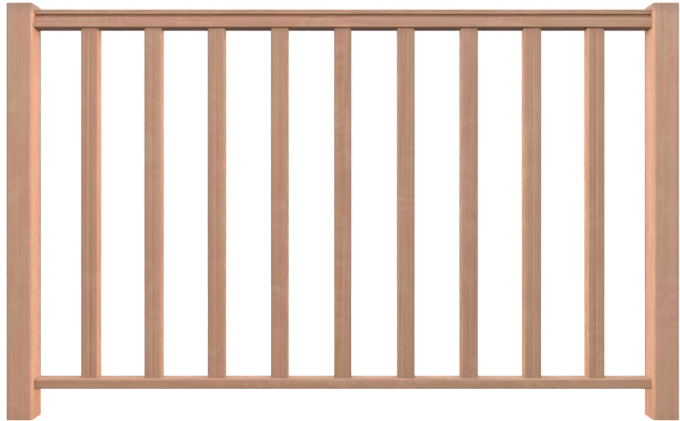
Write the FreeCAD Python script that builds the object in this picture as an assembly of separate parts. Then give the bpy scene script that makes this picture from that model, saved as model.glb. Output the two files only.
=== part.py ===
import FreeCAD, Part
import math
import os

from FreeCAD import Vector

# A deck railing section of solid timber. Two square posts carry a moulded top rail and a bevelled
# bottom rail on stub tenons, and fluted balusters stand in mortises between the rails.
# Millimetres. X runs along the rails, Y from the front to the back, Z up. The origin is the middle
# of the left post's foot, and every piece is centred in depth on the posts.

# Posts
POST_SIDE = 58.0
POST_HEIGHT = 914.0
POST_EDGE_RADIUS = 6.3
POST_END_RADIUS = 2.0

# Balusters
BALUSTER_COUNT = 9
BALUSTER_WIDTH = 38.0
BALUSTER_DEPTH = 30.0
BALUSTER_GAP = 101.6
BALUSTER_EDGE_RADIUS = 4.0
FLUTE_WIDTH = 8.0
FLUTE_DEPTH = 0.7

# Top rail, a moulding with a fascia below, a quirk cut in each side and a cap above
POST_RISE = 12.5
TOP_RAIL_HEIGHT = 40.0
TOP_RAIL_DEPTH = 41.0
TOP_RAIL_FOOT_RADIUS = 3.0
FASCIA_EDGE_RADIUS = 2.5
CAP_DEPTH = 36.5
CAP_HEIGHT = 10.4
CAP_EDGE_RADIUS = 2.0
QUIRK_HEIGHT = 7.6
QUIRK_DEPTH = 8.0
QUIRK_ROOT_RADIUS = 3.0
QUIRK_LIP_RADIUS = 0.8

# Bottom rail, whose flat land on top is as deep as the balusters
BOTTOM_GAP = 66.3
BOTTOM_RAIL_HEIGHT = 23.4
BOTTOM_BEVEL_RUN = 4.0
BOTTOM_BEVEL_RISE = 3.4
BOTTOM_BEVEL_RADIUS = 1.5
BOTTOM_RAIL_FOOT_RADIUS = 4.0

# Hidden joinery
RAIL_TENON_LENGTH = 20.0
RAIL_TENON_THICKNESS = 14.0
TOP_TENON_HEIGHT = 22.0
BOTTOM_TENON_HEIGHT = 14.0
BALUSTER_TENON_LENGTH = 9.0
BALUSTER_TENON_WIDTH = 20.0
BALUSTER_TENON_THICKNESS = 12.0
CHEEK_CLEARANCE = 0.2
END_CLEARANCE = 0.8

# Places that follow from the sizes above
rail_start = POST_SIDE / 2
rail_length = BALUSTER_COUNT * BALUSTER_WIDTH + (BALUSTER_COUNT + 1) * BALUSTER_GAP
rail_end = rail_start + rail_length
right_post_x = rail_end + POST_SIDE / 2
top_rail_top = POST_HEIGHT - POST_RISE
top_rail_base = top_rail_top - TOP_RAIL_HEIGHT
bottom_rail_top = BOTTOM_GAP + BOTTOM_RAIL_HEIGHT
bottom_rail_depth = BALUSTER_DEPTH + 2 * BOTTOM_BEVEL_RUN
top_tenon_middle = top_rail_base + TOP_RAIL_HEIGHT / 2
bottom_tenon_middle = BOTTOM_GAP + (BOTTOM_RAIL_HEIGHT - BOTTOM_BEVEL_RISE) / 2
baluster_pitch = BALUSTER_WIDTH + BALUSTER_GAP
baluster_centres = [
    rail_start + BALUSTER_GAP + BALUSTER_WIDTH / 2 + index * baluster_pitch for index in range(BALUSTER_COUNT)
]


def eased_face(corners):
    """A flat face through corner points, each given with the radius of the arc that eases it."""
    points = [point for point, radius in corners]
    arcs = []
    for index, (point, radius) in enumerate(corners):
        towards_last = (points[index - 1] - point).normalize()
        towards_next = (points[(index + 1) % len(points)] - point).normalize()
        half_angle = towards_last.getAngle(towards_next) / 2
        inwards = (towards_last + towards_next).normalize()
        reach = radius / math.tan(half_angle)
        crown = point + inwards * (radius / math.sin(half_angle) - radius)
        arcs.append((point + towards_last * reach, crown, point + towards_next * reach))
    edges = []
    for index, (arc_start, crown, arc_end) in enumerate(arcs):
        following_start = arcs[(index + 1) % len(arcs)][0]
        edges.append(Part.Arc(arc_start, crown, arc_end).toShape())
        edges.append(Part.LineSegment(arc_end, following_start).toShape())
    return Part.Face(Part.Wire(edges))


def rail_blank(half_profile):
    """Carry a rail's cross-section from post to post, mirroring its back half to the front."""
    back = [(Vector(rail_start, depth, height), radius) for depth, height, radius in half_profile]
    front = [(Vector(rail_start, -depth, height), radius) for depth, height, radius in reversed(half_profile)]
    return eased_face(back + front).extrude(Vector(rail_length, 0, 0))


def block(centre, length, depth, height):
    """A rectangular block about its centre: the shape of a tenon or of the mortise that takes it."""
    corner = centre - Vector(length, depth, height) / 2
    return Part.makeBox(length, depth, height, corner)


def rail_tenons(middle_height, tenon_height, cheek=0.0, end=0.0):
    """The bar that sticks out of both ends of a rail, or its mortises when it is given clearances."""
    centre = Vector((rail_start + rail_end) / 2, 0, middle_height)
    length = rail_length + 2 * (RAIL_TENON_LENGTH + end)
    return block(centre, length, RAIL_TENON_THICKNESS + 2 * cheek, tenon_height + 2 * cheek)


def baluster_tenons(centre_x, cheek=0.0, end=0.0):
    """The bar that sticks out of both ends of a baluster, or its mortises when it is given clearances."""
    centre = Vector(centre_x, 0, (bottom_rail_top + top_rail_base) / 2)
    height = top_rail_base - bottom_rail_top + 2 * (BALUSTER_TENON_LENGTH + end)
    return block(centre, BALUSTER_TENON_WIDTH + 2 * cheek, BALUSTER_TENON_THICKNESS + 2 * cheek, height)


def eased_section(width, depth, radius, centre):
    """The cross-section of an upright with four eased edges."""
    signs = [(-1, -1), (1, -1), (1, 1), (-1, 1)]
    return eased_face([(centre + Vector(i * width / 2, j * depth / 2, 0), radius) for i, j in signs])


def post(centre_x):
    """A square post with its long edges and both ends eased, mortised on the side that faces the rails."""
    section = eased_section(POST_SIDE, POST_SIDE, POST_EDGE_RADIUS, Vector(centre_x, 0, 0))
    timber = section.extrude(Vector(0, 0, POST_HEIGHT))
    end_edges = [edge for edge in timber.Edges if edge.BoundBox.ZLength < POST_END_RADIUS]
    timber = timber.makeFillet(POST_END_RADIUS, end_edges)
    timber = timber.cut(rail_tenons(top_tenon_middle, TOP_TENON_HEIGHT, CHEEK_CLEARANCE, END_CLEARANCE))
    return timber.cut(rail_tenons(bottom_tenon_middle, BOTTOM_TENON_HEIGHT, CHEEK_CLEARANCE, END_CLEARANCE))


def mortised_for_balusters(rail):
    """Cut the row of blind mortises that takes the ends of the balusters."""
    mortises = [baluster_tenons(x, CHEEK_CLEARANCE, END_CLEARANCE) for x in baluster_centres]
    return rail.cut(mortises)


def top_rail():
    """The moulded rail: a fascia that leans in, a rounded quirk and a cap with rounded upper edges."""
    quirk_top = top_rail_top - CAP_HEIGHT
    quirk_base = quirk_top - QUIRK_HEIGHT
    quirk_root = CAP_DEPTH / 2 - QUIRK_DEPTH
    half_profile = [
        (TOP_RAIL_DEPTH / 2, top_rail_base, TOP_RAIL_FOOT_RADIUS),
        (CAP_DEPTH / 2, quirk_base, FASCIA_EDGE_RADIUS),
        (quirk_root, quirk_base, QUIRK_ROOT_RADIUS),
        (quirk_root, quirk_top, QUIRK_ROOT_RADIUS),
        (CAP_DEPTH / 2, quirk_top, QUIRK_LIP_RADIUS),
        (CAP_DEPTH / 2, top_rail_top, CAP_EDGE_RADIUS),
    ]
    timber = rail_blank(half_profile).fuse(rail_tenons(top_tenon_middle, TOP_TENON_HEIGHT))
    return mortised_for_balusters(timber)


def bottom_rail():
    """The lower rail, bevelled above so that water runs off on both sides of the balusters."""
    half_profile = [
        (bottom_rail_depth / 2, BOTTOM_GAP, BOTTOM_RAIL_FOOT_RADIUS),
        (bottom_rail_depth / 2, bottom_rail_top - BOTTOM_BEVEL_RISE, BOTTOM_BEVEL_RADIUS),
        (BALUSTER_DEPTH / 2, bottom_rail_top, BOTTOM_BEVEL_RADIUS),
    ]
    timber = rail_blank(half_profile).fuse(rail_tenons(bottom_tenon_middle, BOTTOM_TENON_HEIGHT))
    return mortised_for_balusters(timber)


def baluster(centre_x):
    """An upright with eased edges, a shallow flute down its front and back, and a tenon at each end."""
    foot = Vector(centre_x, 0, bottom_rail_top)
    length = top_rail_base - bottom_rail_top
    section = eased_section(BALUSTER_WIDTH, BALUSTER_DEPTH, BALUSTER_EDGE_RADIUS, foot)
    timber = section.extrude(Vector(0, 0, length))
    flute_radius = (FLUTE_WIDTH ** 2 / 4 + FLUTE_DEPTH ** 2) / (2 * FLUTE_DEPTH)
    flute_offset = BALUSTER_DEPTH / 2 - FLUTE_DEPTH + flute_radius
    for side in (-1, 1):
        cutter = Part.makeCylinder(flute_radius, length, foot + Vector(0, side * flute_offset, 0))
        timber = timber.cut(cutter)
    return timber.fuse(baluster_tenons(centre_x))


pieces = {
    "left_post": post(0.0),
    "right_post": post(right_post_x),
    "top_rail": top_rail(),
    "bottom_rail": bottom_rail(),
}
for number, centre_x in enumerate(baluster_centres, start=1):
    pieces[f"baluster_{number}"] = baluster(centre_x)

os.makedirs("parts", exist_ok=True)
for name, shape in pieces.items():
    shape.removeSplitter().exportStep(f"parts/{name}.step")
    print(name, shape.isValid(), len(shape.Solids), round(shape.Volume / 1000, 1), "cm3")
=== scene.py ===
# %% [markdown]
# A deck railing section in solid timber: two square posts, a moulded top rail, a bevelled bottom
# rail and a row of fluted balusters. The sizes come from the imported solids, which stay fixed as the
# frame. This lesson gives every piece a finer surface with its own place in a log, so that one wood
# finish can show growth rings, fibres and end grain that run the right way through each piece.

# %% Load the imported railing
import math

import bpy
import numpy as np
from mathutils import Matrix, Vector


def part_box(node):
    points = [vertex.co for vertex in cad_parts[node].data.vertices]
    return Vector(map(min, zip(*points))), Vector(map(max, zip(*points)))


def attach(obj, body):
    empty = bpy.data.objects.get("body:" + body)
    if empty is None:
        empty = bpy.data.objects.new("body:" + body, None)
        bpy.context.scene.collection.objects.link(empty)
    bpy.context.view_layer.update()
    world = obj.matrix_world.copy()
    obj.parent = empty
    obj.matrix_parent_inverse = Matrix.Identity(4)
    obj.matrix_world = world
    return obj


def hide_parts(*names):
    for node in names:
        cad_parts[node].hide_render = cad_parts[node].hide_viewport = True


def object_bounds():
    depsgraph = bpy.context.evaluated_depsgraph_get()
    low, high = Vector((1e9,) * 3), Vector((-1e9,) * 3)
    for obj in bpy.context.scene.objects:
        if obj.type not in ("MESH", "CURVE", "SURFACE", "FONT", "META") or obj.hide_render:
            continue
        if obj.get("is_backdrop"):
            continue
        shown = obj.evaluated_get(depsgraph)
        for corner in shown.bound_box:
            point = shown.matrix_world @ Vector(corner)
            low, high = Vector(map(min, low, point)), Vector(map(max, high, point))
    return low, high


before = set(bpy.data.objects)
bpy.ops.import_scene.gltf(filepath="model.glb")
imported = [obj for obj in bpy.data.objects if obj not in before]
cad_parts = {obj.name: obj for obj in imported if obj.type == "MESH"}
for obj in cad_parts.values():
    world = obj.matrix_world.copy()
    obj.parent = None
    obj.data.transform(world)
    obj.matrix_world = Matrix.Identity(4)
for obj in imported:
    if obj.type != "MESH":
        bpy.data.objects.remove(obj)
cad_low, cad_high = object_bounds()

MM = 0.001
print("solids", len(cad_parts), "box", [round(b - a, 4) for a, b in zip(cad_low, cad_high)])

# %% [markdown]
# Every piece of a railing is a moulding: a cross-section that a machine carries along a length of
# timber. Boxes with a bevel would do, but a cross-section written as corners, each with the radius
# that eases it, also gives the rails' quirk and bevels, and it says where the eased edges are.

# %% Cross-sections
ARC_STEPS = 9
GUARD = 0.4 * MM


def eased_outline(corners, radii):
    """Closed outline of a cross-section, anticlockwise, in metres.

    Each corner is replaced by the arc of its radius that touches both of its sides. The arc's
    centre lies on the corner's bisector at radius / sin(half angle), and its points turn evenly
    from one touching point to the other. A guard point just outside each end of the arc keeps the
    flat sides flat when the surface is smoothed. Returns arrays (corner, step, 2) and (corner, step),
    the second rising from 0 to 1 and back over each arc.
    """
    corners = np.array(corners, float)
    radii = np.array(radii, float)[:, None]
    to_last = np.roll(corners, 1, 0) - corners
    to_next = np.roll(corners, -1, 0) - corners
    to_last /= np.linalg.norm(to_last, axis=1, keepdims=True)
    to_next /= np.linalg.norm(to_next, axis=1, keepdims=True)
    half = np.arccos(np.sum(to_last * to_next, 1, keepdims=True)) / 2
    bisector = to_last + to_next
    bisector /= np.linalg.norm(bisector, axis=1, keepdims=True)
    centre = corners + bisector * radii / np.sin(half)
    start = corners + to_last * radii / np.tan(half)
    end = corners + to_next * radii / np.tan(half)
    turn = (np.pi - 2 * half)[:, None]
    share = np.linspace(0, 1, ARC_STEPS)[None, :, None]
    from_start = (start - centre)[:, None] * np.sin((1 - share) * turn)
    from_end = (end - centre)[:, None] * np.sin(share * turn)
    arcs = centre[:, None] + (from_start + from_end) / np.sin(turn)
    before = (start + to_last * GUARD)[:, None]
    after = (end + to_next * GUARD)[:, None]
    points = np.concatenate([before, arcs, after], 1)
    weight = np.concatenate([[0], np.sin(np.pi * share[0, :, 0]), [0]])
    return points, np.repeat(weight[None], len(corners), 0)


def flat_list(points, weights):
    """Join the corners of an outline into one run of points with their edge weights."""
    return points.reshape(-1, 2), weights.reshape(-1)


print("points on one eased corner", ARC_STEPS + 2)

# %% [markdown]
# A moulding is one outline at many stations along a straight path. The outline draws in at both
# ends, which rounds the end edges as sanding does. A Bevel modifier could round them too, but drawing
# the outline in keeps every point on a plain grid, so that the next step can mark each point.

# %% Carry a cross-section along its length
UPRIGHT = (0, 1, 2)
LYING = (1, 2, 0)
END_STEPS = 5


def outward_normals(outline):
    """Unit normals of a closed anticlockwise outline: the chord between neighbours, turned right."""
    chord = np.roll(outline, -1, 0) - np.roll(outline, 1, 0)
    normal = np.stack([chord[:, 1], -chord[:, 0]], 1)
    return normal / np.linalg.norm(normal, axis=1, keepdims=True)


def stations(low, high, end_radius, spans):
    """Places along a piece, and how far the outline draws in there to round both ends by a quarter turn."""
    angle = np.linspace(0, np.pi / 2, END_STEPS)
    rise = end_radius * (1 - np.cos(angle))
    draw_in = end_radius * (1 - np.sin(angle))
    middle = np.linspace(low + end_radius, high - end_radius, spans + 1)[1:-1]
    along = np.concatenate([low + rise, middle, (high - rise)[::-1]])
    inset = np.concatenate([draw_in, np.zeros(spans - 1), draw_in[::-1]])
    return along, inset


def carried(outline, low, high, end_radius, spans):
    """Grid of points (station, outline point, 3), the third number being the place along the piece.

    Point (i, j) is outline point j, drawn in along its normal by station i's inset, at station i.
    """
    along, inset = stations(low, high, end_radius, spans)
    section = outline[None] - outward_normals(outline)[None] * inset[:, None, None]
    height = np.repeat(along[:, None, None], len(outline), 1)
    return np.concatenate([section, height], 2)


def closed_faces(count, width):
    """Quads between neighbours on the grid, closed round the outline, and a whole outline at each end."""
    i, j = np.meshgrid(np.arange(count - 1), np.arange(width), indexing="ij")
    right = (j + 1) % width
    quads = np.stack([i * width + j, i * width + right, (i + 1) * width + right, (i + 1) * width + j], 2)
    first = np.arange(width)[::-1]
    last = np.arange(width) + (count - 1) * width
    return quads.reshape(-1, 4).tolist() + [first.tolist(), last.tolist()]


print("stations that round one end", END_STEPS)

# %% [markdown]
# A piece of timber is cut from somewhere in a tree. Storing, at every vertex, where it was in its own
# log lets a shader draw rings about the heart that bend round corners and come out on the end grain.
# A texture on the object's own coordinates would give every piece the same heart, so the log
# coordinates are an attribute, with the heart's place drawn from a seeded generator. Three more
# attributes mark the eased edges, the end faces and the tone of the whole piece.

# %% A place in the log
draws = np.random.default_rng(9)
LOG_REACH = 5.0
LEAN = 0.006
SHARP_ANGLE = math.radians(40)


def log_place(points, heart_distance, heart_turn, lean):
    """Where points lie in the log: shifted from the heart and leaning a little from its axis."""
    heart = heart_distance * np.array([math.cos(heart_turn), math.sin(heart_turn)])
    place = points - points.mean(0)
    place[:, :2] += heart + place[:, 2:] * np.array(lean)
    place[:, 2] += draws.uniform(-LOG_REACH, LOG_REACH)
    return place


def mark(mesh, name, domain, values):
    """Keep one number for every point or face in a named attribute."""
    mesh.attributes.new(name, "FLOAT", domain).data.foreach_set("value", values)


def timber_piece(name, outline, weights, axes, low, high, end_radius, heart_distance, spans):
    """Carry an outline along a straight path as one closed mesh that stands for the node of that name."""
    grid = carried(outline, low, high, end_radius, spans)
    local = grid.reshape(-1, 3)
    vertices = np.empty_like(local)
    vertices[:, axes] = local
    faces = closed_faces(*grid.shape[:2])
    mesh = bpy.data.meshes.new(name + "_timber")
    mesh.from_pydata(vertices, [], faces)
    mesh.polygons.foreach_set("use_smooth", np.ones(len(faces), bool))
    mesh.set_sharp_from_angle(angle=SHARP_ANGLE)
    lean = draws.normal(0, LEAN, 2)
    heart_turn = draws.uniform(0, 2 * np.pi)
    place = log_place(local, heart_distance, heart_turn, lean)
    mesh.attributes.new("log", "FLOAT_VECTOR", "POINT").data.foreach_set("vector", place.ravel())
    ends = np.zeros(len(faces))
    ends[-2:] = 1
    mark(mesh, "edge", "POINT", np.tile(weights, len(grid)))
    mark(mesh, "end", "FACE", ends)
    mark(mesh, "tone", "POINT", np.full(len(local), draws.uniform(-1, 1)))
    piece = bpy.data.objects.new(name + "_timber", mesh)
    bpy.context.scene.collection.objects.link(piece)
    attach(piece, "root")
    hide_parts(name)
    print(piece.name, "vertices", len(local), "faces", len(faces))
    return piece


print("metres of log that pieces are drawn from", 2 * LOG_REACH)

# %% [markdown]
# The posts are plain square timbers. Their long edges are eased and their ends are rounded a little,
# as sanding leaves them. A cube with two Bevel modifiers would have the same shape, but an outline
# carried upwards also knows its own edges and ends. The posts are sawn well away from the heart, so
# their rings are wide arcs.

# %% Posts
POST_EDGE_RADIUS = 6.3 * MM
POST_END_RADIUS = 2.0 * MM
POST_HEART = 85 * MM
POST_SPANS = 24


def rectangle(low, high):
    """Corners of a rectangle, anticlockwise from its lowest one."""
    return [(low[0], low[1]), (high[0], low[1]), (high[0], high[1]), (low[0], high[1])]


posts = []
for node in ("left_post", "right_post"):
    low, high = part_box(node)
    outline, weights = flat_list(*eased_outline(rectangle(low, high), [POST_EDGE_RADIUS] * 4))
    run = (low.z, high.z, POST_END_RADIUS)
    posts.append(timber_piece(node, outline, weights, UPRIGHT, *run, POST_HEART, POST_SPANS))

# %% [markdown]
# The rails run between the posts. The top rail is a moulding: its fascia leans in a little, a deep
# rounded quirk throws a dark line, and a cap with rounded edges lies above. The bottom rail is
# bevelled on both sides of a flat land that the balusters stand on. A cutter leaves front and back
# alike. Both halves could be drawn, but a half that is written down and mirrored can't drift from the
# other.

# %% Rails
TOP_RAIL_DEPTH = 41.0 * MM
TOP_RAIL_FOOT_RADIUS = 3.0 * MM
TOP_RAIL_HEART = 70 * MM
FASCIA_EDGE_RADIUS = 2.5 * MM
CAP_DEPTH = 36.5 * MM
CAP_HEIGHT = 10.4 * MM
CAP_EDGE_RADIUS = 2.0 * MM
QUIRK_HEIGHT = 7.6 * MM
QUIRK_DEPTH = 8.0 * MM
QUIRK_ROOT_RADIUS = 3.0 * MM
QUIRK_LIP_RADIUS = 0.8 * MM
BOTTOM_RAIL_FOOT_RADIUS = 4.0 * MM
BOTTOM_RAIL_HEART = 60 * MM
BOTTOM_BEVEL_RISE = 3.4 * MM
BOTTOM_BEVEL_RADIUS = 1.5 * MM
JOINT_EASE = 0.7 * MM
RAIL_SPANS = 48


def mirrored(half):
    """A symmetric cross-section from its back half, written from the bottom up as (depth, height, radius)."""
    back = np.array(half)
    front = back[::-1] * np.array([-1, 1, 1])
    whole = np.concatenate([back, front])
    return flat_list(*eased_outline(whole[:, :2], whole[:, 2]))


rail_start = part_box("left_post")[1].x
rail_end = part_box("right_post")[0].x
top_low, top_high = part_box("top_rail")
bottom_low, bottom_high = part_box("bottom_rail")
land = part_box("baluster_1")[1].y
quirk_top = top_high.z - CAP_HEIGHT
quirk_base = quirk_top - QUIRK_HEIGHT
quirk_root = CAP_DEPTH / 2 - QUIRK_DEPTH
top_half = [
    (TOP_RAIL_DEPTH / 2, top_low.z, TOP_RAIL_FOOT_RADIUS),
    (CAP_DEPTH / 2, quirk_base, FASCIA_EDGE_RADIUS),
    (quirk_root, quirk_base, QUIRK_ROOT_RADIUS),
    (quirk_root, quirk_top, QUIRK_ROOT_RADIUS),
    (CAP_DEPTH / 2, quirk_top, QUIRK_LIP_RADIUS),
    (CAP_DEPTH / 2, top_high.z, CAP_EDGE_RADIUS),
]
bottom_half = [
    (bottom_high.y, bottom_low.z, BOTTOM_RAIL_FOOT_RADIUS),
    (bottom_high.y, bottom_high.z - BOTTOM_BEVEL_RISE, BOTTOM_BEVEL_RADIUS),
    (land, bottom_high.z, BOTTOM_BEVEL_RADIUS),
]
profiles = [
    ("top_rail", top_half, TOP_RAIL_HEART),
    ("bottom_rail", bottom_half, BOTTOM_RAIL_HEART),
]
rails = []
for node, half, heart in profiles:
    outline, weights = mirrored(half)
    run = (rail_start, rail_end, JOINT_EASE)
    rails.append(timber_piece(node, outline, weights, LYING, *run, heart, RAIL_SPANS))

# %% [markdown]
# A baluster has a shallow flute down the middle of its front and back, which catches a light line
# and a dark one. A Boolean cut could make it, but here it is part of the outline and leaves no stray
# faces. The flute is a circle's arc let into the flat face, so its depth at a distance x from the
# middle is sqrt(R * R - x * x) less the part of R that lies outside the timber.

# %% Balusters
BALUSTER_EDGE_RADIUS = 4.0 * MM
BALUSTER_HEART = 50 * MM
BALUSTER_SPANS = 24
FLUTE_WIDTH = 8.0 * MM
FLUTE_DEPTH = 0.7 * MM
FLUTE_STEPS = 17


def fluted_outline(low, high):
    """A rectangle with eased corners whose two long sides each have an arc let into their middle."""
    corners, weights = eased_outline(rectangle(low, high), [BALUSTER_EDGE_RADIUS] * 4)
    radius = (FLUTE_WIDTH ** 2 / 4 + FLUTE_DEPTH ** 2) / (2 * FLUTE_DEPTH)
    across = np.linspace(-FLUTE_WIDTH / 2, FLUTE_WIDTH / 2, FLUTE_STEPS)
    depth = np.sqrt(radius ** 2 - across ** 2) - (radius - FLUTE_DEPTH)
    lips = FLUTE_WIDTH / 2 + GUARD
    across = np.concatenate([[-lips], across, [lips]])
    depth = np.concatenate([[0], depth, [0]])
    middle = (low[0] + high[0]) / 2
    front = np.stack([middle + across, low[1] + depth], 1)
    back = np.stack([middle - across, high[1] - depth], 1)
    level = np.zeros(len(across))
    outline = np.concatenate([corners[0], front, corners[1], corners[2], back, corners[3]])
    return outline, np.concatenate([weights[0], level, weights[1], weights[2], level, weights[3]])


balusters = []
for node in sorted(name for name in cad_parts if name.startswith("baluster")):
    outline, weights = fluted_outline(*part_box(node))
    run = (bottom_high.z, top_low.z, JOINT_EASE)
    balusters.append(timber_piece(node, outline, weights, UPRIGHT, *run, BALUSTER_HEART, BALUSTER_SPANS))

# %% [markdown]
# A finish is a tree of shader nodes. It could be linked by hand in the node editor, but its maths
# reads better as Python. This small class wraps one socket: an operator adds a Math node, and `node`
# adds any other kind with its settings and the values of its sockets.

# %% Shader expressions


class Wire:
    """A socket of a shader tree. Operators on it add Math nodes and give back their output."""

    def __init__(self, tree, socket):
        self.tree = tree
        self.socket = socket

    def node(self, kind, settings=None, sockets=None, output=0):
        """Add a node, set its settings, feed its sockets with numbers or wires, and wrap one output."""
        made = self.tree.nodes.new(kind)
        for key, value in (settings or {}).items():
            setattr(made, key, value)
        for key, value in (sockets or {}).items():
            if isinstance(value, Wire):
                self.tree.links.new(value.socket, made.inputs[key])
            else:
                made.inputs[key].default_value = value
        return Wire(self.tree, made.outputs[output] if made.outputs else None)

    def other(self, output):
        """Another output of the node that this socket is on."""
        return Wire(self.tree, self.socket.node.outputs[output])

    def math(self, operation, first, second=0.0):
        """The output of a Math node on two numbers or wires."""
        return self.node("ShaderNodeMath", {"operation": operation}, {0: first, 1: second})

    def __add__(self, value):
        return self.math("ADD", self, value)

    def __radd__(self, value):
        return self.math("ADD", value, self)

    def __sub__(self, value):
        return self.math("SUBTRACT", self, value)

    def __rsub__(self, value):
        return self.math("SUBTRACT", value, self)

    def __mul__(self, value):
        return self.math("MULTIPLY", self, value)

    def __rmul__(self, value):
        return self.math("MULTIPLY", value, self)

    def __truediv__(self, value):
        return self.math("DIVIDE", self, value)

    def __rtruediv__(self, value):
        return self.math("DIVIDE", value, self)

    def __pow__(self, value):
        return self.math("POWER", self, value)

    def __rpow__(self, value):
        return self.math("POWER", value, self)

    def ramp(self, low, high):
        """0 below low, 1 above high, with a smooth step between."""
        sockets = {"Value": self, "From Min": low, "From Max": high}
        return self.node("ShaderNodeMapRange", {"interpolation_type": "SMOOTHSTEP"}, sockets)

    def noise(self, scale, detail=2.0, roughness=0.5):
        """Cloudy noise, from 0 to 1, of a vector that is first stretched by a scale along each axis."""
        stretched = self.node("ShaderNodeVectorMath", {"operation": "MULTIPLY"}, {0: self, 1: scale})
        sockets = {"Vector": stretched, "Scale": 1.0, "Detail": detail, "Roughness": roughness}
        return self.node("ShaderNodeTexNoise", {}, sockets)

    def mixed(self, first, second):
        """The colour at this share of the way from the first colour to the second."""
        settings = {"data_type": "RGBA", "clamp_factor": True}
        return self.node("ShaderNodeMix", settings, {0: self, 6: first, 7: second}, output=2)


def srgb(red, green, blue):
    """A colour as a picture shows it, from 0 to 255, in the linear values that shaders use."""
    share = np.array([red, green, blue]) / 255
    linear = np.where(share <= 0.04045, share / 12.92, ((share + 0.055) / 1.055) ** 2.4)
    return (*linear.tolist(), 1.0)


print("half grey in linear values", round(srgb(128, 128, 128)[0], 3))

# %% [markdown]
# The timber is a fine-grained reddish hardwood under a thin oil. Its rings are the distance from the
# heart divided by the ring pitch, with the heart line wandering a little, so flat-sawn faces show
# arches and the ends show curved rings. Over them lie features of many sizes: patches of hue and
# mottle as wide as a finger, pale wavy bands of curl that cross the grain here and there, streaks
# that run the length of a piece, flecks, fibres, and pores only fractions of a millimetre wide. All
# are noise stretched along or across the log, so they follow the grain from face to face, which a
# flat picture of wood wrapped round a piece would not do.

# %% Features of the wood
RING_PITCH = 4.2 * MM
HEART_WANDER = 22 * MM
RING_RIPPLE = 2 * MM
RING_END = 0.84
FAINTEST_YEAR = 0.4
END_RINGING = 0.5
CURL_LIFT = 80 * MM

# Features in each metre, twice across the log and then along it
WANDER = (9, 9, 1.3)
RIPPLE = (55, 55, 6)
MOTTLE = (42, 42, 13)
CURL_WAVE = (22, 22, 5)
FIBRE = (1100, 1100, 20)
FIBRE_DETAIL = 3
FIBRE_ROUGHNESS = 0.6

# The same with the noise's detail, and the values of the noise at which a feature starts and is full
HUE = ((60, 60, 7), 2, 0.34, 0.66)
CURL = ((22, 22, 75), 1, 0.4, 0.66)
CURL_PATCH = ((10, 10, 9), 2, 0.44, 0.64)
STREAK = ((240, 240, 1.6), 3, 0.3, 0.72)
FLECK = ((720, 720, 95), 1, 0.6, 0.72)
PORE = ((2600, 2600, 150), 1, 0.62, 0.72)


def patches(vector, scale, detail, starts, full):
    """0 where the noise is low, 1 where it is high, with a smooth step between the two values."""
    return vector.noise(scale, detail).ramp(starts, full)


def wood_features(start, ringing, streaking):
    """Named features of the wood at a point, each from about 0 to 1, as wires of one shader tree.

    A ring darkens with the square of the season that has passed and ends in a quick step, and every
    year is a little different. The curl's bands rise and fall along the log by a slow wave. End faces
    show rings more clearly, and curl and streaks not at all.
    """
    log = start.node("ShaderNodeAttribute", {"attribute_name": "log"}, output="Vector")
    edge = start.node("ShaderNodeAttribute", {"attribute_name": "edge"}, output="Fac")
    end = start.node("ShaderNodeAttribute", {"attribute_name": "end"}, output="Fac")
    tone = start.node("ShaderNodeAttribute", {"attribute_name": "tone"}, output="Fac")
    across = log.node("ShaderNodeSeparateXYZ", {}, {"Vector": log})
    through = across.other("Y")
    radius = (across * across + through * through) ** 0.5
    wander = log.noise(WANDER) - 0.5
    ripple = log.noise(RIPPLE) - 0.5
    rings = (radius + wander * HEART_WANDER + ripple * RING_RIPPLE) / RING_PITCH
    season = rings.math("FRACT", rings)
    count = rings.math("FLOOR", rings)
    year = count.node("ShaderNodeTexWhiteNoise", {"noise_dimensions": "1D"}, {"W": count})
    clearness = year * (1 - FAINTEST_YEAR) + FAINTEST_YEAR
    late = season ** 2 * (1 - season.ramp(RING_END, 1))
    wave = (log.noise(CURL_WAVE) - 0.5) * CURL_LIFT
    lift = wave.node("ShaderNodeCombineXYZ", {}, {"Z": wave})
    bent = log.node("ShaderNodeVectorMath", {"operation": "ADD"}, {0: log, 1: lift})
    along = 1 - end
    return {
        "late": late,
        "ring": late * clearness * (end * END_RINGING + ringing),
        "hue": patches(log, *HUE),
        "mottle": log.noise(MOTTLE) - 0.5,
        "curl": patches(bent, *CURL) * patches(log, *CURL_PATCH) * along,
        "streak": patches(log, *STREAK) * streaking * along,
        "fleck": patches(log, *FLECK),
        "fibre": log.noise(FIBRE, FIBRE_DETAIL, FIBRE_ROUGHNESS),
        "pore": patches(log, *PORE),
        "edge": edge,
        "end": end,
        "tone": tone,
    }


print("rings in a post", round((cad_high.y - cad_low.y) / RING_PITCH))

# %% [markdown]
# The finish weighs those features three times: for how dark the wood is, how rough, and how far its
# surface stands up. Oil soaks into pores and end grain and leaves them darker. Eased edges are paler,
# partly worn by hands and sanding and partly a painted highlight, and smoother. Tan and pink patches
# share the light wood, and the dark wood has one deep colour. The posts are a paler board than the
# rails and balusters. Tables of weights show at a glance what each feature does, which a web of nodes
# set by hand would hide.

# %% Timber finish
# The negative edge weight makes the eased edges paler: part wear, part painted highlight.
DARKER = {
    "ring": 1.0, "mottle": 0.25, "fibre": 0.3, "streak": 0.2, "fleck": 0.16, "pore": 0.26,
    "curl": -0.18, "tone": 0.04, "end": 0.35, "edge": -0.05,
}
ROUGHER = {"fibre": 0.16, "pore": 0.1, "end": 0.12, "edge": -0.05}
RAISED = {"fibre": 0.5, "late": 0.35, "pore": -1.0, "fleck": -0.4}
PALEST = -0.15
SMOOTHEST = 0.5
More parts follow.
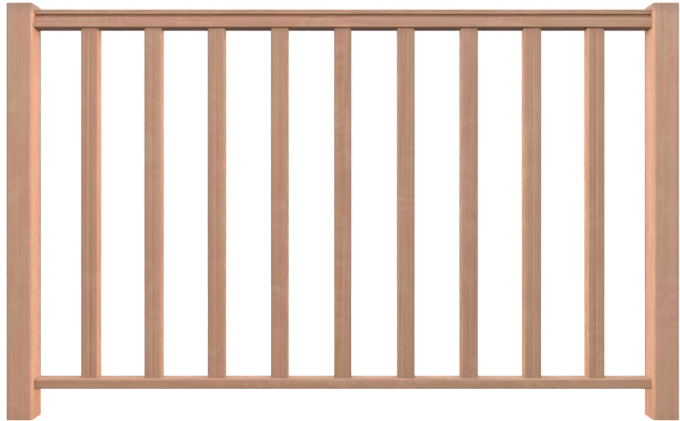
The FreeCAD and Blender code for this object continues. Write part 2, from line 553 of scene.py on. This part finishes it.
# How far the eased edges move towards a paler colour: part wear, part painted highlight.
EDGE_WEAR_AND_HIGHLIGHT = 0.15
BUMP_STRENGTH = 0.22
BUMP_DEPTH = 0.3 * MM
OIL_SHEEN = 0.06
TAN = srgb(194, 163, 140)
PINK = srgb(197, 158, 142)
PALE_TAN = srgb(201, 170, 149)
PALE_PINK = srgb(204, 164, 148)
DEEP = srgb(158, 103, 73)
# The pale colour of the eased edges: part wear, part painted highlight.
WORN_AND_HIGHLIGHT = srgb(215, 182, 164)


def weighed(features, weights, base):
    """The base plus every named feature times its weight."""
    return sum((features[name] * weight for name, weight in weights.items()), base)


def timber(name, tan, pink, ringing, streaking):
    """A wood material of two light colours that reads where each point was in its log."""
    material = bpy.data.materials.new(name)
    material.use_nodes = True
    tree = material.node_tree
    features = wood_features(Wire(tree, None), ringing, streaking)
    light = features["hue"].mixed(tan, pink)
    colour = weighed(features, DARKER, PALEST).mixed(light, DEEP)
    # Eased edges move towards the pale colour: part wear, part painted highlight.
    colour = (features["edge"] * EDGE_WEAR_AND_HIGHLIGHT).mixed(colour, WORN_AND_HIGHLIGHT)
    rough = weighed(features, ROUGHER, SMOOTHEST)
    height = weighed(features, RAISED, 0.0)
    relief = {"Strength": BUMP_STRENGTH, "Distance": BUMP_DEPTH, "Height": height}
    bump = height.node("ShaderNodeBump", {}, relief)
    shader = tree.nodes["Principled BSDF"]
    tree.links.new(colour.socket, shader.inputs["Base Color"])
    tree.links.new(rough.socket, shader.inputs["Roughness"])
    tree.links.new(bump.socket, shader.inputs["Normal"])
    shader.inputs["Specular IOR Level"].default_value = OIL_SHEEN
    print(name, "nodes", len(tree.nodes))
    return material


# Slot, pieces, their two light colours, how clear the rings are and how strong the streaks
finishes = [
    ("post_timber", posts, PALE_TAN, PALE_PINK, 0.25, 0.8),
    ("rail_timber", rails, TAN, PINK, 0.3, 1.1),
    ("baluster_timber", balusters, TAN, PINK, 0.3, 1.1),
]
for slot, pieces, tan, pink, ringing, streaking in finishes:
    finish = timber(slot, tan, pink, ringing, streaking)
    for piece in pieces:
        piece.data.materials.append(finish)

# %% [markdown]
# A pale floor and an even white world make a plain studio. The camera sees the floor as white, with
# the railing's soft shadow in its diffuse share, while the light that the floor throws back on the
# timber stays low, so that undersides stay dark. One big white floor without that split would light
# the rails from below and hide their mouldings.

# %% Floor and world
FLOOR_SIDE = 60.0
FLOOR_SHADE = (0.3, 0.3, 0.3, 1)
FLOOR_GLOW = 0.72
FLOOR_BOUNCE = (0.05, 0.03, 0.02, 1)
WHITE = (1, 1, 1, 1)


def seen_directly(wire):
    """1 for rays from the camera and for rays that a shiny or clear surface passes on, otherwise 0."""
    path = wire.node("ShaderNodeLightPath", {}, {}, output="Is Camera Ray")
    seen = path.math("MAXIMUM", path, path.other("Is Glossy Ray"))
    return path.math("MAXIMUM", seen, path.other("Is Transmission Ray"))


def white_floor():
    """A square sheet under the posts."""
    half = FLOOR_SIDE / 2
    corners = [(*corner, cad_low.z) for corner in rectangle((-half, -half), (half, half))]
    mesh = bpy.data.meshes.new("floor")
    mesh.from_pydata(corners, [], [(0, 1, 2, 3)])
    floor = bpy.data.objects.new("floor", mesh)
    bpy.context.scene.collection.objects.link(floor)
    floor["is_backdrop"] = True
    return floor


def floor_finish():
    """White with a shadow where it is seen, and a dim bounce where it only lights other things."""
    material = bpy.data.materials.new("floor_white")
    material.use_nodes = True
    material.node_tree.nodes.clear()
    start = Wire(material.node_tree, None)
    shade = start.node("ShaderNodeBsdfDiffuse", {}, {"Color": FLOOR_SHADE})
    glow = start.node("ShaderNodeEmission", {}, {"Color": WHITE, "Strength": FLOOR_GLOW})
    seen = start.node("ShaderNodeAddShader", {}, {0: shade, 1: glow})
    bounce = start.node("ShaderNodeBsdfDiffuse", {}, {"Color": FLOOR_BOUNCE})
    surface = start.node("ShaderNodeMixShader", {}, {0: seen_directly(start), 1: bounce, 2: seen})
    start.node("ShaderNodeOutputMaterial", {}, {"Surface": surface})
    return material


def white_world():
    """The same white from every side, at the strength at which a colour shows as it is written."""
    world = bpy.data.worlds.new("studio")
    bpy.context.scene.world = world
    world.use_nodes = True
    world.node_tree.nodes.clear()
    start = Wire(world.node_tree, None)
    white = start.node("ShaderNodeBackground", {}, {"Color": WHITE, "Strength": 1.0})
    start.node("ShaderNodeOutputWorld", {}, {"Surface": white})
    return world


floor = white_floor()
floor.data.materials.append(floor_finish())
world = white_world()
print(floor.name, "side", FLOOR_SIDE, world.name, "nodes", len(world.node_tree.nodes))

# %% [markdown]
# Three soft lights give the timber form. A long cool strip in front, just above the top rail's height,
# draws the fronts paler towards their tops and reaches into the quirk. An overhead panel catches the
# bottom rail's bevel, and a warm fill stands behind. One bare lamp would throw a hard shadow of the top
# rail down the balusters, so each is a broad area light that is turned to the railing's middle.

# %% Soft lights
middle = (cad_low + cad_high) / 2


def soft_light(name, place, aim, size, watts, colour, spread=180.0):
    """A rectangular area light at a place, turned to face another, with its spread in degrees."""
    lamp = bpy.data.lights.new(name, "AREA")
    lamp.shape = "RECTANGLE"
    lamp.size, lamp.size_y = size
    lamp.energy = watts
    lamp.color = colour
    lamp.spread = math.radians(spread)
    light = bpy.data.objects.new(name, lamp)
    light.location = place
    light.rotation_euler = (aim - light.location).to_track_quat("-Z", "Y").to_euler()
    bpy.context.scene.collection.objects.link(light)
    print(name, "at", [round(v, 2) for v in light.location])


# Name, metres behind the railing (in front where negative), metres above its top, size, watts, colour
soft_lights = [
    ("front_strip", -0.8, 0.1, (4.0, 0.3), 3.5, (0.90, 0.97, 1.0)),
    ("overhead", -0.05, 1.5, (2.0, 1.2), 14.0, (0.85, 0.97, 1.0)),
    ("back_fill", 3.0, 0.6, (2.4, 1.6), 34.0, (1.0, 0.75, 0.58)),
]
for name, behind, above, size, watts, colour in soft_lights:
    place = middle.copy()
    place.y = behind
    place.z = cad_high.z + above
    soft_light(name, place, middle, size, watts, colour)

# %% [markdown]
# The sides that face the middle of the railing glow a warm orange, strongly on the posts and less on
# each baluster towards the middle. Painting them would keep the glow in every other light, so it comes
# from tall panels in front of the other end. The spread is narrow, and each panel throws a plain beam
# on one stretch of the railing. All stretches get the same light on their fronts, but a beam that
# comes in more squarely leaves less for the sides. The beams meet at the middle and stop at the top
# rail, above which the posts' inner sides are darker again.

# %% Side beams
# Degrees, from the beam that reaches the post to the one that ends at the middle
BEAM_ANGLES = (17, 23, 31, 41)
BEAM_DROP = math.radians(3)
BEAM_DISTANCE = 2.2
BEAM_REACH = 0.86
BEAM_FOOT = -0.1
BEAM_SPREAD = 0.6
BELOW_CAP = 4 * MM

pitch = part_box("baluster_2")[0].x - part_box("baluster_1")[0].x
# Where the beams begin and end, measured from the railing's middle
edges = (BEAM_REACH, 3 * pitch, 2 * pitch, pitch, 0)


def side_beam(name, side, angle, far, near, watts, colour):
    """A panel whose beam strikes the railing at an angle, from far to near as measured from its middle.

    The panel is as wide as that stretch times the sine of the angle. So the same watts for each
    metre of railing give fronts the same light, and give sides that light divided by the tangent.
    The beams' upper edges lie on one slope that falls to the cap at the post.
    """
    turn = math.radians(angle)
    centre = (far + near) / 2
    top = top_high.z - BELOW_CAP + math.tan(BEAM_DROP) * (middle.x - rail_start - centre)
    aim = middle.copy()
    aim.x -= side * centre
    aim.y = -land
    aim.z = (top + BEAM_FOOT) / 2
    level = BEAM_DISTANCE * math.cos(BEAM_DROP)
    place = aim.copy()
    place.x += side * level * math.cos(turn)
    place.y -= level * math.sin(turn)
    place.z += BEAM_DISTANCE * math.sin(BEAM_DROP)
    size = ((far - near) * math.sin(turn), (top - BEAM_FOOT) * math.cos(BEAM_DROP))
    soft_light(name, place, aim, size, watts * (far - near), colour, BEAM_SPREAD)


# Name, the end that the panels stand at, watts for each metre of railing and colour
side_beams = [
    ("right_side", 1, 0.783, (1.0, 0.66, 0.40)),
    ("left_side", -1, 0.698, (1.0, 0.77, 0.50)),
]
for name, side, watts, colour in side_beams:
    for angle, far, near in zip(BEAM_ANGLES, edges, edges[1:]):
        side_beam(f"{name}_{angle}", side, angle, far, near, watts, colour)

# %% [markdown]
# The camera stands level at half the railing's height, straight in front of its middle, so that both
# posts show their inner sides alike. The picture's vanishing point lies a few pixels off its centre.
# Turning the camera would make level and upright lines lean, so a small lens shift does it.

# %% Camera
PICTURE_WIDTH = 680
VANISHING_OFFSET = (2.78, 0.9)
FOCAL_PIXELS = 846.3
CAMERA_DISTANCE = 1.85
SENSOR = 36.0

lens = bpy.data.cameras.new("camera")
lens.sensor_width = SENSOR
lens.lens = FOCAL_PIXELS / PICTURE_WIDTH * SENSOR
lens.shift_x = -VANISHING_OFFSET[0] / PICTURE_WIDTH
lens.shift_y = VANISHING_OFFSET[1] / PICTURE_WIDTH
camera = bpy.data.objects.new("camera", lens)
camera.location = (middle.x, cad_low.y - CAMERA_DISTANCE, middle.z)
camera.rotation_euler = (math.pi / 2, 0, 0)
bpy.context.scene.collection.objects.link(camera)
bpy.context.scene.camera = camera
bpy.context.scene.view_settings.view_transform = "Standard"
print("camera", [round(v, 3) for v in camera.location], "lens", round(lens.lens, 2))

# %% [markdown]
# A part keeps its size when it is dressed. So last, the box of the dressed railing is measured.

# %% Sizes
low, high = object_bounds()
